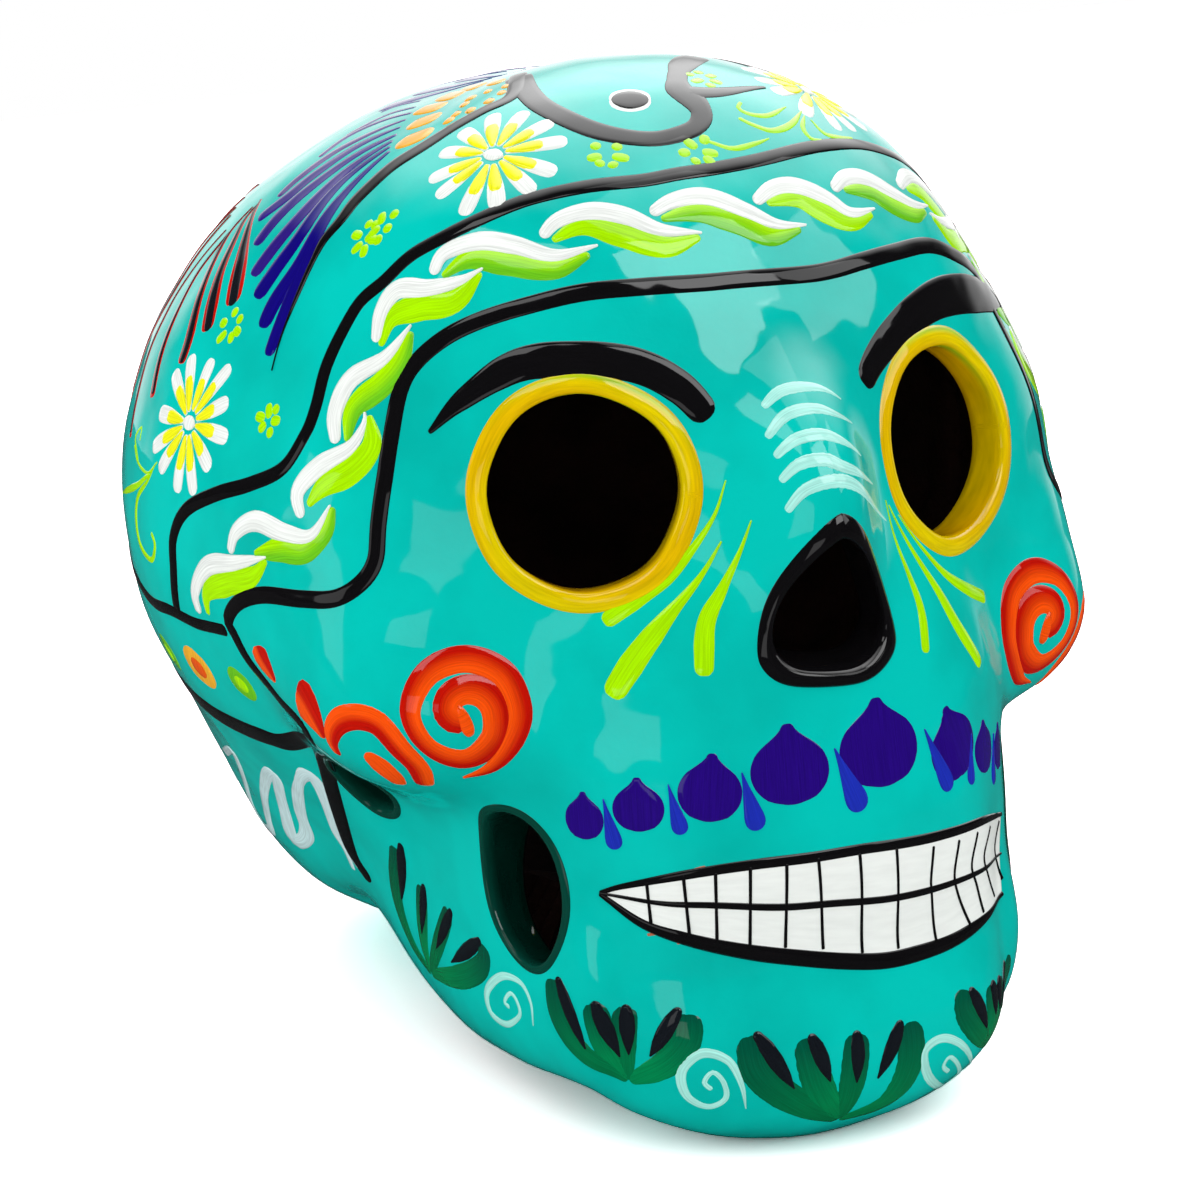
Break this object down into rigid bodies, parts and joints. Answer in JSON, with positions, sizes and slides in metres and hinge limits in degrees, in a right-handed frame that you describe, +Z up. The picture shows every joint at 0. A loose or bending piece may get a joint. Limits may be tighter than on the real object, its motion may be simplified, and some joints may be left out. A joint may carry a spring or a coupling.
{
  "type": "sugar skull",
  "caption": "Hollow painted and varnished earthenware skull with open eyes, nose, cheeks and temples, standing on its own flat underside.",
  "frame": {"origin": "on the standing surface, below the middle of the skull", "axes": "+Z up, the face looks along -Y, +X is the skull's own left"},
  "size_m": [0.1626, 0.1875, 0.1756],
  "materials": {
    "teal_paint": "teal acrylic on earthenware under gloss varnish",
    "bare_clay": "unglazed red earthenware, matte",
    "yellow_paint": "yellow brush paint under gloss varnish",
    "black_paint": "black brush paint under gloss varnish",
    "dark_green_paint": "dark green brush paint under gloss varnish"
  },
  "bodies": {
    "root": {"face_half": "teal_paint", "back_half": "teal_paint", "seam_lute": "bare_clay", "right_eye_rim": "yellow_paint", "left_eye_rim": "yellow_paint", "nose_rim": "black_paint", "right_cheek_rim": "dark_green_paint", "left_cheek_rim": "dark_green_paint", "right_temple_rim": "dark_green_paint", "left_temple_rim": "dark_green_paint"}
  },
  "joints": []
}
